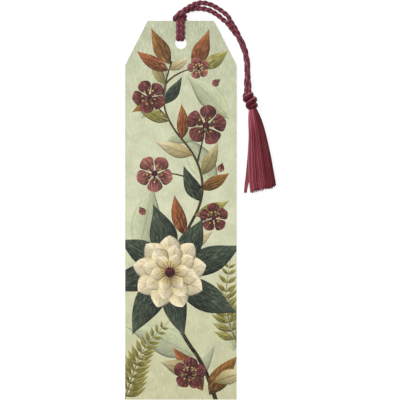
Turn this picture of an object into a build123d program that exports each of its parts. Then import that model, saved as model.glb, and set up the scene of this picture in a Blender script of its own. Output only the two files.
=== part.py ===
"""A card bookmark with corner cuts, a punched hole and a hitched cord with a knotted tassel.

Frame: millimetres. The card lies in the XY plane, +Y runs to its top, +Z leaves its printed face.
The origin is the middle of the card's bottom edge, halfway through its thickness.
"""

import math
import os

from build123d import *

# Card
card_width = 50.8
card_length = 172.6
card_thickness = 0.4
corner_cut_across = 10.25
corner_cut_down = 20.2
hole_diameter = 5.2
hole_below_top = 10.2

# Cord where the hitch presses it against the card
strand_width = 1.85
strand_thickness = 1.4
seat_gap = 0.03
pair_gap = 0.05
hitch_above_top = 3.2
bight_above_top = 2.0
bight_bend = 1.0
back_straight = 1.4
back_bend = 3.0
bight_rise_from = 1.6

# Free cord, from the hitch to the knot
cord_diameter = 1.5
pair_radius = 0.8
pair_turns = 2.75
pair_steps_per_turn = 4
route_arc_share = 0.45
knot_dish_gap = 0.25

# Knot
knot_tilt = 14.0
knot_length = 11.0
knot_core_diameter = 3.0
knot_core_start = 1.65
wrap_diameter = 2.1
wrap_pitch = 2.9
wrap_turns = 2.5
wrap_start = 2.6
wrap_start_angle = -90.0
wrap_seat = 0.05
wrap_lean = 0.35
wrap_steps_per_turn = 4

# Skirt: stations below the knot, with the fan's middle, half-width and layer heights at each
skirt_stations = (0.0, 9.0, 33.5)
fan_middle = (0.4, -0.75, -3.45)
fan_half_width = (1.6, 3.9, 6.3)
lower_layer_height = (-0.7, -2.05, -2.6)
upper_layer_height = (0.7, -0.15, -1.0)
layer_half_thickness = (0.66, 0.9, 0.75)
lock_gap_share = 0.06
upper_lock_ends = (0.3, -0.5, 0.4, -0.2, 0.5, -0.6)
lower_lock_ends = (-0.2, 0.4, -0.4, 0.2, -0.3, 0.1)
upper_layer_share = 0.94
stray_reach = (0.0, 0.35, 1.75)

# Worked out from the sizes above
hole_radius = hole_diameter / 2
hole_height = card_length - hole_below_top
strand_x = (strand_width + pair_gap) / 2
run_height = card_thickness / 2 + seat_gap + strand_thickness / 2
bight_side = strand_x + strand_width / 2 + pair_gap + strand_thickness / 2
bight_height = run_height + strand_thickness + 2 * seat_gap
bar_y = card_length + bight_above_top
cord_radius = cord_diameter / 2


def seat_in_hole():
    """How far above the hole's middle a strand's centre lies when it is drawn against the rim."""
    angles = [math.radians(step) for step in range(0, 91, 3)]
    room = [
        math.sqrt(hole_radius**2 - (strand_x + strand_width / 2 * math.cos(a)) ** 2)
        - strand_thickness / 2 * math.sin(a)
        for a in angles
    ]
    return min(room) - pair_gap


turn_y = hole_height + seat_in_hole() + run_height
table_slope = (run_height + strand_thickness / 2 - card_thickness / 2) / (turn_y - run_height)


def table_height(y):
    """Height of the table under the bookmark, which the strands behind the card tilt a little."""
    return -card_thickness / 2 - table_slope * y


# Routes as (x, height above the card's top edge, height off the table)
pair_route = [
    (22.6, -1.6, 1.6),
    (24.8, -4.7, 1.6),
    (27.4, -9.2, 1.6),
    (29.5, -14.4, 1.6),
    (30.35, -20.2, 1.7),
    (30.1, -25.8, 2.6),
    (30.1, -31.3, 3.75),
]
upper_leg_route = [
    (0.8, 5.4, 2.5),
    (3.0, 7.4, 2.1),
    (8.0, 8.6, 1.0),
    (13.4, 7.65, 0.8),
    (18.2, 4.95, 0.9),
    (21.2, 2.3, 1.7),
]
lower_leg_route = [
    (2.0, 4.3, 2.5),
    (4.6, 5.5, 2.1),
    (9.0, 6.15, 1.0),
    (13.2, 4.75, 0.8),
    (17.3, 2.15, 0.8),
    (19.7, 0.2, 0.8),
]
last_leg_run = 1.6


def over_table(route):
    return [
        Vector(x, card_length + rise, table_height(card_length + rise) + lift)
        for x, rise, lift in route
    ]


def rounded_route(points):
    """A path through the points, each corner as wide an arc as the runs beside it allow."""
    runs = [b - a for a, b in zip(points, points[1:])]
    radii = [
        route_arc_share * min(a.length, b.length) / math.tan(math.radians(a.get_angle(b)) / 2)
        for a, b in zip(runs, runs[1:])
    ]
    print("route radii:", ", ".join(f"{radius:.1f}" for radius in radii))
    return FilletPolyline(*points, radius=radii)


def biarc(start, start_direction, end, end_direction):
    """Two arcs that leave the start and reach the end along the given directions."""
    across = end - start
    along = across.dot(start_direction + end_direction)
    spread = 2 * (1 - start_direction.dot(end_direction))
    reach = (math.sqrt(along**2 + spread * across.dot(across)) - along) / spread
    first = start + start_direction * reach
    second = end - end_direction * reach
    middle = (first + second) * 0.5
    return [
        TangentArc(start, middle, tangent=start_direction),
        TangentArc(middle, end, tangent=second - first),
    ]


def winding(point_at, steps):
    """Arcs along a winding curve given as a function of 0 to 1, and its first and last headings."""
    near = 1e-4
    points = [point_at(i / steps) for i in range(steps + 1)]
    headings = [
        (point_at(i / steps + near) - point_at(i / steps - near)).normalized()
        for i in range(steps + 1)
    ]
    arcs = []
    for i in range(steps):
        arcs += biarc(points[i], headings[i], points[i + 1], headings[i + 1])
    return arcs, headings[0], headings[-1]


def tube(path, radius):
    return sweep(Plane(path @ 0, z_dir=path % 0) * Circle(radius), path)


def self_gap(point_at, length, diameter, samples=240):
    """Least gap between lengths of one tube that lie more than two diameters apart along it."""
    points = [point_at(i / samples) for i in range(samples + 1)]
    apart = math.ceil(2 * diameter / length * samples)
    return min(
        (points[i] - points[j]).length
        for i in range(samples + 1)
        for j in range(i + apart, samples + 1)
    ) - diameter


def make_card():
    half = card_width / 2
    right = [
        (half, 0),
        (half, card_length - corner_cut_down),
        (half - corner_cut_across, card_length),
    ]
    left = [(-x, y) for x, y in reversed(right)]
    face = make_face(Polyline(*right, *left, close=True))
    face -= Pos(0, hole_height) * Circle(hole_radius)
    return Pos(0, 0, -card_thickness / 2) * extrude(face, amount=card_thickness)


def make_strand(side):
    """One strand of the hitch: up the front face, round the hole's rim and onto the back."""
    x = side * strand_x
    top = (x, card_length + hitch_above_top, run_height)
    front = (x, turn_y, run_height)
    back = (x, turn_y, -run_height)
    end = (x, turn_y + back_straight, -run_height)
    turn = ThreePointArc(front, (x, turn_y - run_height, 0), back)
    path = Wire([Line(top, front), turn, Line(back, end)])
    section = Ellipse(strand_width / 2, strand_thickness / 2)
    return sweep(Plane(top, x_dir=(1, 0, 0), z_dir=(0, -1, 0)) * section, path)


def make_loop():
    """The loop of the hitch: up the back, over the top edge and across in front of the strands."""
    half = [
        (-strand_x, turn_y + back_straight, -run_height),
        (-strand_x, turn_y + 2 * back_straight, -run_height),
        (-bight_side, card_length - bight_rise_from, -run_height),
        (-bight_side, bar_y, -run_height),
        (-bight_side, bar_y, bight_height),
    ]
    other_half = [(-x, y, z) for x, y, z in reversed(half)]
    bends = [back_bend, back_bend, bight_bend, bight_bend]
    path = FilletPolyline(*half, *other_half, radius=bends + bends[::-1])
    return tube(path, strand_thickness / 2)


pair_path = rounded_route(over_table(pair_route))
knot_top = pair_path @ 1


def pair_strand_at(share, phase):
    """A point on one strand of the twisted pair."""
    middle = pair_path @ share
    across = Vector(0, 0, 1).cross(pair_path % share).normalized()
    angle = phase + 2 * math.pi * pair_turns * share
    return middle + across * (pair_radius * math.cos(angle)) + Vector(
        0, 0, pair_radius * math.sin(angle)
    )


def make_cord(leg_route, phase):
    """One free cord: a round start at the hitch, the open leg, its share of the twist, a round end."""
    strand_arcs, first_heading, last_heading = winding(
        lambda share: pair_strand_at(min(max(share, 0), 1), phase),
        math.ceil(pair_turns * pair_steps_per_turn),
    )
    joins_at, ends_at = pair_strand_at(0, phase), pair_strand_at(1, phase)
    leg = over_table(leg_route) + [joins_at - first_heading * last_leg_run, joins_at]
    tail = Line(ends_at, ends_at + last_heading * (pair_radius + cord_radius))
    path = Wire(list(rounded_route(leg).edges()) + strand_arcs + [tail])
    cord = tube(path, cord_radius) + Pos(leg[0]) * Sphere(cord_radius)
    past_knot = Plane(knot_top, z_dir=pair_path % 1).location
    cutter = 2 * (pair_radius + cord_diameter)
    beyond = past_knot * Cylinder(cutter, cutter, align=(Align.CENTER, Align.CENTER, Align.MIN))
    beyond -= Pos(knot_top) * Sphere(pair_radius + cord_radius)
    return cord - beyond


# The tassel's own frame: origin at the knot's top, Z down the tassel, X to its right, Y off the table
tilt = math.radians(knot_tilt)
tassel_frame = Plane(
    knot_top,
    x_dir=(math.cos(tilt), math.sin(tilt), 0),
    z_dir=(math.sin(tilt), -math.cos(tilt), 0),
).location


def make_knot_core():
    """The cords inside the knot, dished at the top to swing round the ends of the pair."""
    length = knot_length - knot_core_start
    core = Cylinder(knot_core_diameter / 2, length, align=(Align.CENTER, Align.CENTER, Align.MIN))
    core = Pos(0, 0, knot_core_start) * core
    core -= Sphere(pair_radius + cord_radius + knot_dish_gap)
    return tassel_frame * core


def wrap_at(share):
    radius = knot_core_diameter / 2 + wrap_diameter / 2 + wrap_seat
    angle = math.radians(wrap_start_angle + 360 * wrap_turns * share)
    x = radius * math.cos(angle)
    down = wrap_start + wrap_pitch * wrap_turns * share - wrap_lean * x
    return Vector(x, radius * math.sin(angle), down)


def make_knot_wrap():
    path = Wire(winding(wrap_at, math.ceil(wrap_turns * wrap_steps_per_turn))[0])
    print(f"knot wrap's least gap to itself: {self_gap(wrap_at, path.length, wrap_diameter):.2f} mm")
    return tassel_frame * tube(path, wrap_diameter / 2)


def make_lock(index, count, heights, share, end_offset, swing=(0.0, 0.0, 0.0)):
    """One lock of threads: a loft through an oval at each station of the skirt."""
    sections = []
    for station in range(len(skirt_stations)):
        pitch = 2 * share * fan_half_width[station] / count
        x = fan_middle[station] + pitch * (index - (count - 1) / 2) - swing[station]
        at_end = station == len(skirt_stations) - 1
        down = knot_length + skirt_stations[station] + (end_offset if at_end else 0)
        oval = Ellipse(pitch / 2 * (1 - lock_gap_share), layer_half_thickness[station])
        sections.append(Pos(x, heights[station], down) * oval)
    return tassel_frame * loft(sections)


def make_locks(heights, share, ends, chosen):
    swing_of = {0: stray_reach} if heights is lower_layer_height else {}
    no_swing = (0.0, 0.0, 0.0)
    return Compound(
        [
            make_lock(i, len(ends), heights, share, ends[i], swing_of.get(i, no_swing))
            for i in chosen
        ]
    )


upper_all = range(len(upper_lock_ends))
lower_but_stray = range(1, len(lower_lock_ends))
pieces = {
    "card": make_card(),
    "hitch_strand_left": make_strand(-1),
    "hitch_strand_right": make_strand(1),
    "hitch_loop": make_loop(),
    "cord_upper": make_cord(upper_leg_route, math.pi / 2),
    "cord_lower": make_cord(lower_leg_route, -math.pi / 2),
    "knot_core": make_knot_core(),
    "knot_wrap": make_knot_wrap(),
    "skirt_upper_locks": make_locks(upper_layer_height, upper_layer_share, upper_lock_ends, upper_all),
    "skirt_lower_locks": make_locks(lower_layer_height, 1.0, lower_lock_ends, lower_but_stray),
    "skirt_stray_lock": make_locks(lower_layer_height, 1.0, lower_lock_ends, [0]),
}

flop_axis = (over_table(upper_leg_route)[0] + over_table(lower_leg_route)[0]) * 0.5
print(f"cord hinge at ({flop_axis.X:.2f}, {flop_axis.Y:.2f}, {flop_axis.Z:.2f}), along X")
print(f"tassel hinge at ({knot_top.X:.2f}, {knot_top.Y:.2f}, {knot_top.Z:.2f}), along Z")

os.makedirs("parts", exist_ok=True)
for name, shape in pieces.items():
    export_step(shape, f"parts/{name}.step")
    print(f"{name}: {shape.volume:.1f} mm3, valid {shape.is_valid}")
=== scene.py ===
"""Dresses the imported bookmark: printed card, hitched two-ply cord, overhand knot and thread skirt.

Everything is in the part's own frame: the card lies in XY, +Y to its top, +Z out of the printed face.
Sizes are written in millimetres and become metres as they are handed to Blender.
"""

import functools
import math

import bpy
import numpy as np
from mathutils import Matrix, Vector, geometry


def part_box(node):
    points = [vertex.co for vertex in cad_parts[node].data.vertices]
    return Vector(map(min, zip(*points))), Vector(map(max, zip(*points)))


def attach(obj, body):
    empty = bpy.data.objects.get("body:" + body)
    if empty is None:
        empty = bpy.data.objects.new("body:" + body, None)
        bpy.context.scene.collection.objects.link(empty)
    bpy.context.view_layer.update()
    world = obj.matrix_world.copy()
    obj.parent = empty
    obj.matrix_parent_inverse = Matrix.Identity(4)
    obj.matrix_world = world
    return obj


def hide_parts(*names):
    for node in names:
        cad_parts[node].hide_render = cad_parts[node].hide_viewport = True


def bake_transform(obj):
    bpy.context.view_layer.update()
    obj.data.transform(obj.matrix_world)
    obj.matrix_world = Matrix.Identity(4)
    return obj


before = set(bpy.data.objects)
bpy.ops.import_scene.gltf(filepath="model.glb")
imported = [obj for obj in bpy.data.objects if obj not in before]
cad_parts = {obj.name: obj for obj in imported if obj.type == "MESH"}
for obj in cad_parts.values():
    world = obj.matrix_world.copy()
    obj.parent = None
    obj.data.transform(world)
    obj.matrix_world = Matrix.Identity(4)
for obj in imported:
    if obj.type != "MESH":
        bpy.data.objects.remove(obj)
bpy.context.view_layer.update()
MM = 0.001
x_axis, z_axis = np.array((1.0, 0.0, 0.0)), np.array((0.0, 0.0, 1.0))

# Card, as in the part's source
card_width, card_length, card_thickness = 50.8, 172.6, 0.4
corner_cut_across, corner_cut_down = 10.25, 20.2
hole_radius, hole_y = 2.6, 162.4

# Hitch: heights as in the part's source, with the strands a little closer to each other
strand_thickness, run_height = 1.4, 0.93
band_x, strand_x = -0.28, 0.84
turn_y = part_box("hitch_strand_left")[0][1] / MM + run_height + strand_thickness / 2
turn_rise = turn_y - card_length

# Knot, and the slope of the table, as in the part's source
knot_tilt, knot_length = math.radians(14.0), 11.0
table_slope = (run_height + strand_thickness / 2 - card_thickness / 2) / (turn_y - run_height)

# Cord: two plies laid left-handed
cord_diameter, cord_width, lay_pitch = 1.7, 2.25, 5.2
ply_offset, ply_radius = 0.27, 0.73
groove_depth, groove_spread = 0.22, 0.3
section_sides, ring_step, route_steps = 24, 0.16, 24

# Settings and inputs that nodes share, for a soft step and for a mix of two colours
smooth_step, colour_mix = {"interpolation_type": "SMOOTHSTEP"}, {"data_type": "RGBA"}
MIX_SHARE, MIX_FROM, MIX_TO = 0, 6, 7


def linear(hex_colour):
    """An sRGB hex colour as linear red, green, blue and alpha."""
    channels = [int(hex_colour[i : i + 2], 16) / 255 for i in (1, 3, 5)]
    return [c / 12.92 if c <= 0.04045 else ((c + 0.055) / 1.055) ** 2.4 for c in channels] + [1.0]


def add_node(tree, kind, inputs=(), stops=(), **settings):
    """Adds a node with its settings and a ramp's stops, and sets or links its inputs, in order or by key.

    An input may be another node, which stands for its first output in use.
    """
    node = tree.nodes.new(kind)
    for name, value in settings.items():
        setattr(node, name, value)
    for key, value in inputs.items() if isinstance(inputs, dict) else enumerate(inputs):
        if isinstance(value, bpy.types.Node):
            value = next(socket for socket in value.outputs if socket.enabled)
        if isinstance(value, bpy.types.NodeSocket):
            tree.links.new(value, node.inputs[key])
        else:
            node.inputs[key].default_value = value
    if stops:
        elements = node.color_ramp.elements
        elements[0].position, elements[1].position = stops[0][0], stops[-1][0]
        for place, _ in stops[1:-1]:
            elements.new(place)
        for element, (_, colour) in zip(elements, stops):
            element.color = linear(colour)
    return node


def make_material(surface):
    """A node material with the surface that a function of the same name adds."""
    material = bpy.data.materials.new(surface.__name__)
    material.use_nodes = True
    material.node_tree.nodes.clear()
    add = functools.partial(add_node, material.node_tree)
    add("ShaderNodeOutputMaterial", {"Surface": surface(add)})
    return material


def mesh_object(name, vertices, faces, materials, smooth=True):
    mesh = bpy.data.meshes.new(name)
    mesh.from_pydata((np.asarray(vertices) * MM).tolist(), [], [list(map(int, f)) for f in faces])
    for material in materials:
        mesh.materials.append(material)
    mesh.polygons.foreach_set("use_smooth", [smooth] * len(mesh.polygons))
    thing = bpy.data.objects.new(name, mesh)
    bpy.context.scene.collection.objects.link(thing)
    return thing


# Lines and frames


def table_height(y):
    return -card_thickness / 2 - table_slope * y


def over_table(route):
    return [(x, card_length + rise, table_height(card_length + rise) + lift) for x, rise, lift in route]


def unit(vectors):
    return vectors / np.linalg.norm(vectors, axis=-1, keepdims=True)


def ease(share):
    share = np.clip(share, 0, 1)
    return share * share * (3 - 2 * share)


def lengths_along(points):
    return np.concatenate([[0.0], np.cumsum(np.linalg.norm(np.diff(points, axis=0), axis=1))])


def rows_at(places, stations, rows):
    """Rows of numbers, read off at places between their stations."""
    return np.stack([np.interp(places, stations, column) for column in rows.T], axis=1)


def evenly_spaced(points, step):
    along = lengths_along(points)
    return rows_at(np.linspace(0, along[-1], max(2, round(along[-1] / step) + 1)), along, points)


def smooth_line(control_points, step=ring_step):
    """Evenly spaced points down a NURBS line with the given control points."""
    curve = bpy.data.curves.new("route", "CURVE")
    curve.dimensions = "3D"
    curve.resolution_u = route_steps
    spline = curve.splines.new("NURBS")
    spline.points.add(len(control_points) - 1)
    for point, place in zip(spline.points, control_points):
        point.co = (*place, 1.0)
    spline.order_u = 3
    spline.use_endpoint_u = True
    holder = bpy.data.objects.new("route", curve)
    mesh = bpy.data.meshes.new_from_object(holder)
    points = np.array([vertex.co for vertex in mesh.vertices])
    bpy.data.objects.remove(holder)
    bpy.data.curves.remove(curve)
    bpy.data.meshes.remove(mesh)
    return evenly_spaced(points, step)


def frames_along(points, first_side, carried):
    """Tangent, side and upper directions down a line. A carried side turns as little as it can."""
    tangents = unit(np.gradient(points, axis=0))
    sides = np.empty_like(points)
    side = first_side
    for i, tangent in enumerate(tangents):
        side = side if carried else first_side
        side = unit(side - tangent * side.dot(tangent))
        sides[i] = side
    return tangents, sides, np.cross(tangents, sides)


# Cord


def cord_section():
    """Angles round a cord, and how far its two plies reach there, as shares of half its width."""
    angles = np.linspace(0, 2 * np.pi, section_sides, endpoint=False)
    reach = ply_offset * np.abs(np.cos(angles))
    reach = reach + np.sqrt(ply_radius**2 - (ply_offset * np.sin(angles)) ** 2)
    from_groove = np.arcsin(np.abs(np.cos(angles)))
    return angles, reach * (1 - groove_depth * np.exp(-((from_groove / groove_spread) ** 2)))


class CordMesh:
    """Gathers lengths of two-ply cord into one mesh, with UVs in millimetres along and turns around."""

    def __init__(self):
        self.vertices, self.faces, self.uvs = [], [], []

    def add_rings(self, rings, along):
        """Joins rings of points into a tube, closed at both ends."""
        count, sides, _ = rings.shape
        base = sum(len(block) for block in self.vertices)
        ends = np.stack([rings[0].mean(axis=0), rings[-1].mean(axis=0)])
        self.vertices.append(np.concatenate([rings.reshape(-1, 3), ends]))
        for i in range(count - 1):
            for j in range(sides):
                k = (j + 1) % sides
                corners = (i * sides + j, i * sides + k, (i + 1) * sides + k, (i + 1) * sides + j)
                self.faces.append([base + c for c in corners])
                low, high, a, b = along[i], along[i + 1], j / sides, (j + 1) / sides
                self.uvs += [(low, a), (low, b), (high, b), (high, a)]
        first, last = base + count * sides, base + count * sides + 1
        for j in range(sides):
            k = (j + 1) % sides
            self.faces.append([first, base + k, base + j])
            self.faces.append([last, base + (count - 1) * sides + j, base + (count - 1) * sides + k])
            self.uvs += [(along[0], 0.0)] * 3 + [(along[-1], 0.0)] * 3

    def add_cord(self, points, first_side, width, press=1.0, press_along=z_axis, pitch=lay_pitch):
        """A cord down a line, pressed along a direction. Without a pitch it is round and untwisted."""
        count = len(points)
        half = np.broadcast_to(np.asarray(width) / 2, count)[:, None, None]
        tangent, side, upper = frames_along(points, first_side, carried=pitch is not None)
        along = lengths_along(points)
        angles, reach = cord_section()
        if pitch is None:
            reach, lay = np.ones(section_sides), np.zeros(count)
        else:
            pitch = np.broadcast_to(pitch, count)
            lay = -2 * np.pi * np.concatenate([[0.0], np.cumsum(np.diff(along) / pitch[1:])])
        turned = (angles[None, :] + lay[:, None])[:, :, None]
        offsets = np.cos(turned) * side[:, None, :] + np.sin(turned) * upper[:, None, :]
        offsets = half * reach[None, :, None] * offsets
        flat = np.broadcast_to(press_along, (count, 3))
        flat = unit(flat - tangent * np.sum(flat * tangent, axis=1, keepdims=True))
        depth = np.einsum("nmk,nk->nm", offsets, flat) * (1 - np.broadcast_to(press, count))[:, None]
        self.add_rings(points[:, None, :] + offsets - depth[:, :, None] * flat[:, None, :], along)

    def build(self, name, material):
        thing = mesh_object(name, np.concatenate(self.vertices), self.faces, [material])
        layer = thing.data.uv_layers.new(name="lay")
        layer.data.foreach_set("uv", np.array(self.uvs, float).ravel())
        return thing


# Gloss that cord and threads share
rayon_gloss = {"IOR": 1.52, "Specular IOR Level": 0.3, "Sheen Weight": 0.05, "Sheen Roughness": 0.4}


def filaments(add, filament_mm, filaments_round):
    """Streaks of filaments along a cord, drawn coarse to show, and the cosine of the angle round it."""
    where = add("ShaderNodeUVMap", uv_map="lay")
    stretched = add("ShaderNodeMapping", {"Vector": where, "Scale": (1 / filament_mm, filaments_round, 1.0)})
    streak = add("ShaderNodeTexNoise", {"Vector": stretched, "Scale": 1.0, "Detail": 3.0, "Roughness": 0.65})
    around = add("ShaderNodeSeparateXYZ", (where,)).outputs["Y"]
    turn = add("ShaderNodeMath", (around, 2 * math.pi), operation="MULTIPLY")
    return streak, add("ShaderNodeMath", (turn,), operation="COSINE")


def rayon_twist_cord(add):
    """Bright rayon twist: fine filaments along each ply give soft streaks and silky lights, with painted
    shade in the grooves.
    """
    painted_shade_reach = 0.55
    streak, cosine = filaments(add, filament_mm=2.2, filaments_round=26.0)
    # Painted shade: the colour goes to a dark red in the grooves between the plies
    lobe = add("ShaderNodeMath", (cosine,), operation="ABSOLUTE")
    crown = add("ShaderNodeMapRange", (lobe, 0.0, painted_shade_reach, 0.0, 1.0), **smooth_step)
    ink = add("ShaderNodeValToRGB", (streak,), ((0.28, "#521823"), (0.5, "#6c2735"), (0.74, "#98505f")))
    shaded = {MIX_SHARE: crown, MIX_FROM: linear("#2e0c15"), MIX_TO: ink}
    colour = add("ShaderNodeMix", shaded, **colour_mix)
    bump = add("ShaderNodeBump", {"Height": streak, "Strength": 0.4, "Distance": 0.05 * MM})
    shader = {"Base Color": colour, "Roughness": 0.46, "Normal": bump, **rayon_gloss}
    return add("ShaderNodeBsdfPrincipled", shader)


def rayon_knot_cord_painted_light(add):
    """Deep red knot turns, darkened as painted shade, with a painted highlight along the edge nearer the
    pull.
    """
    # Painted highlight: the side of each turn facing back up the tassel is mixed towards a pale pink
    highlight_edge, highlight_share = (-0.95, -0.55), 0.85
    streak, cosine = filaments(add, filament_mm=3.0, filaments_round=22.0)
    painted_highlight = add("ShaderNodeMapRange", (cosine, *highlight_edge, highlight_share, 0.0), **smooth_step)
    # Inks darker than the free cord's, as painted shade in the tight turns
    ink = add("ShaderNodeValToRGB", (streak,), ((0.3, "#300812"), (0.72, "#6a1e2e")))
    # b87484 is the painted highlight's colour
    highlighted = {MIX_SHARE: painted_highlight, MIX_FROM: ink, MIX_TO: linear("#b87484")}
    colour = add("ShaderNodeMix", highlighted, **colour_mix)
    bump = add("ShaderNodeBump", {"Height": streak, "Strength": 0.5, "Distance": 0.06 * MM})
    shader = {"Base Color": colour, "Roughness": 0.46, "Normal": bump, **rayon_gloss}
    shader |= {"Specular IOR Level": 0.22, "Specular Tint": linear("#e6a8b4"), "Sheen Weight": 0.0}
    return add("ShaderNodeBsdfPrincipled", shader)


cord_material = make_material(rayon_twist_cord)
knot_material = make_material(rayon_knot_cord_painted_light)

# Routes of the free cords, a little off the part's own: x, height over the top edge, lift off the table
pair_route = [
    (22.6, -1.6, 1.6),
    (24.8, -4.7, 1.6),
    (27.4, -9.2, 1.6),
    (29.5, -14.4, 1.6),
    (30.35, -20.2, 1.7),
    (30.25, -25.8, 2.6),
    (30.45, -31.3, 3.75),
]
upper_leg_route = [
    (0.6, 3.8, 2.9),
    (3.5, 6.0, 3.2),
    (8.1, 8.45, 1.7),
    (13.3, 7.85, 0.9),
    (18.2, 4.95, 0.9),
    (21.5, 2.2, 1.7),
]
lower_leg_route = [
    (1.6, 4.0, 2.0),
    (4.4, 5.35, 1.5),
    (9.0, 5.85, 1.0),
    (13.4, 4.85, 0.8),
    (17.2, 2.4, 0.8),
    (19.7, 0.1, 0.8),
]
under_bight_rise, last_leg_run = (1.2, 3.0), 1.6
swell_at_hitch, swell_from, swell_fade = 0.14, 7.0, 18.0
tail_past_knot_top, end_round, end_least = 1.9, 0.9, 0.05
upper_length, lower_length = 67.0, 62.0

# The twisted pair: slack and side by side at its ends, drawn tight and pressed flat between them
pair_turns, pair_lay_pitch = 2.0, 9.0
pair_shares = (0.0, 0.22, 0.42, 0.7, 0.85, 1.0)
pair_reach = (0.86, 0.68, 0.46, 0.48, 0.68, 0.76)
unpressed_reach, least_press = 0.85, 0.64

pair_line = smooth_line(over_table(pair_route))


def pair_strand(phase):
    """One strand of the twisted pair, its directions out from the pair's own line, and its reach from it."""
    share = np.linspace(0, 1, len(pair_line))
    across = unit(np.cross(z_axis, unit(np.gradient(pair_line, axis=0))))
    angle = (phase + 2 * np.pi * pair_turns * ease(share))[:, None]
    outward = across * np.cos(angle) + z_axis * np.sin(angle)
    reach = np.interp(share, pair_shares, pair_reach)
    return pair_line + reach[:, None] * outward, outward, reach


def make_free_cord(name, side, leg_route, phase):
    """From under the bight, round the arch, down the twist and just into the knot."""
    strand, outward, reach = pair_strand(phase)
    out_of_hitch = [(band_x + side * strand_x, card_length + rise, run_height) for rise in under_bight_rise]
    joining = [tuple(strand[0] - last_leg_run * unit(strand[1] - strand[0])), tuple(strand[0])]
    leg = smooth_line(out_of_hitch + over_table(leg_route) + joining)[:-1]
    tail = strand[-1] + tail_past_knot_top * unit(strand[-1] - strand[-2])
    rough = np.concatenate([leg, strand, [tail]])
    line = evenly_spaced(rough, ring_step)
    places, rough_places = lengths_along(line), lengths_along(rough)
    press_along = rows_at(places, rough_places, np.pad(outward, ((len(leg), 1), (0, 0)), mode="edge"))
    press = np.interp(places, rough_places, np.pad(reach, (len(leg), 1), mode="edge"))
    press = np.clip(press / unpressed_reach, least_press, 1.0)
    pitch = np.interp(places, (rough_places[len(leg)], places[-1]), (lay_pitch, pair_lay_pitch))
    swell = 1 + swell_at_hitch * (1 - ease((places - swell_from) / swell_fade))
    blunt = np.sqrt(np.clip((places[-1] - places) / end_round, end_least, 1))
    mesh = CordMesh()
    mesh.add_cord(line, x_axis, cord_width * swell * blunt / np.sqrt(press), press, press_along, pitch)
    return mesh.build(name, cord_material), line


cord_upper, upper_line = make_free_cord("cord_upper_lay", -1, upper_leg_route, 0.0)
cord_lower, lower_line = make_free_cord("cord_lower_lay", 1, lower_leg_route, math.pi)

# Hitch's two strands, down the front, round the hole's rim and onto the back: height over the top edge, z
strand_route = [
    (2.6, run_height),
    (-2.0, run_height),
    (turn_rise + 1.0, run_height),
    (turn_rise - run_height, run_height),
    (turn_rise - run_height, -run_height),
    (turn_rise + 1.4, -run_height),
]
# The bight that they come from, up the back, over the top edge and across in front: x, height over it, z
bight_route = [
    (-1.9, -4.4, -run_height),
    (-2.7, -1.2, -run_height),
    (-2.75, 0.3, -1.0),
    (-2.65, 1.2, 1.4),
    (-1.9, 2.2, 2.6),
    (0.1, 2.9, 2.75),
    (1.4, 3.1, 2.5),
    (1.8, 2.3, 1.2),
    (1.85, 0.3, -1.0),
    (1.9, -1.2, -run_height),
    (1.5, -4.4, -run_height),
]
# The strands lie wide and flat in their band, and the bight is round
band_width, bight_width, band_press = 2.4, 2.2, 0.66
bight_from, bight_fade = -2.2, 2.0
band_margin, band_top = 0.3, 0.4


def make_hitch():
    """The cord in the hitch: two strands through the hole, and the bight that they come from."""
    left, right = ([(band_x + side * strand_x, rise, z) for rise, z in strand_route] for side in (-1, 1))
    route = left + bight_route + right[::-1]
    line = smooth_line([(x, card_length + rise, z) for x, rise, z in route])
    over_edge = np.cross(x_axis, unit(np.gradient(line, axis=0)))
    in_band = np.abs(line[:, 0] - band_x) < strand_x + band_margin
    in_band &= line[:, 2] < run_height + band_top
    in_bight = np.where(in_band, 0.0, ease((line[:, 1] - card_length - bight_from) / bight_fade))
    width = band_width + (bight_width - band_width) * in_bight
    mesh = CordMesh()
    mesh.add_cord(line, x_axis, width, band_press + (1 - band_press) * in_bight, over_edge)
    return mesh.build("hitch_cord", cord_material)


hitch = make_hitch()

# Knot: the cord drawn tight in turns round the cords that run down through it
knot_shift = (-0.35, 0.0, 0.0)
knot_top = pair_line[-1] + knot_shift
knot_across = np.array((math.cos(knot_tilt), math.sin(knot_tilt), 0.0))
knot_down = np.array((math.sin(knot_tilt), -math.cos(knot_tilt), 0.0))

# Route of its turns: half turns from the tassel's right side, reach from its line, depth below its top
wrap_route = [
    (-0.5, 1.0, 2.3),
    (0.0, 1.4, 2.8),
    (1.0, 2.2, 4.3),
    (2.0, 2.7, 5.15),
    (3.0, 1.3, 7.8),
    (4.0, 2.5, 7.9),
    (5.0, 1.3, 8.9),
    (5.5, 0.8, 9.1),
]
wrap_route_step, wrap_press = 0.03, 0.7
width_turns, wrap_width = (3.9, 4.4), (2.6, 1.5)

# Routes of the cords inside it: across, up and down from its top. One bulges out beside the first turn
bulging_core = [(-0.4, 0.0, 0.4), (-0.9, 0.4, 1.4), (-2.2, 1.0, 3.7), (-1.3, 0.0, 5.4), (-0.6, 0.0, 7.0)]
core_routes = (
    bulging_core + [(-0.6, 0.0, knot_length)],
    [(0.6, 0.0, 0.9), (0.3, 0.0, 2.6), (0.5, 0.0, knot_length)],
)


def in_tassel(x, up, down):
    """Points in the tassel's own directions, from the top of the knot."""
    return knot_top + np.outer(x, knot_across) + np.outer(up, z_axis) + np.outer(down, knot_down)


def make_knot():
    """The turns of the knot, and the two cords inside it that show at its top."""
    mesh = CordMesh()
    half_turns, reach, down = smooth_line(wrap_route, wrap_route_step).T
    x, up = reach * np.cos(np.pi * half_turns), reach * np.sin(np.pi * half_turns)
    outward = np.outer(x, knot_across) + np.outer(up, z_axis)
    width = np.interp(half_turns, width_turns, wrap_width)
    mesh.add_cord(in_tassel(x, up, down), knot_down, width, wrap_press, outward, pitch=None)
    wrap_faces = len(mesh.faces)
    for route in core_routes:
        mesh.add_cord(smooth_line(in_tassel(*np.array(route).T)), knot_across, cord_width)
    knot = mesh.build("knot_cord", knot_material)
    knot.data.materials.append(cord_material)
    in_core = np.arange(len(mesh.faces)) >= wrap_faces
    knot.data.polygons.foreach_set("material_index", in_core.astype(int))
    return knot


knot = make_knot()

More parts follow.
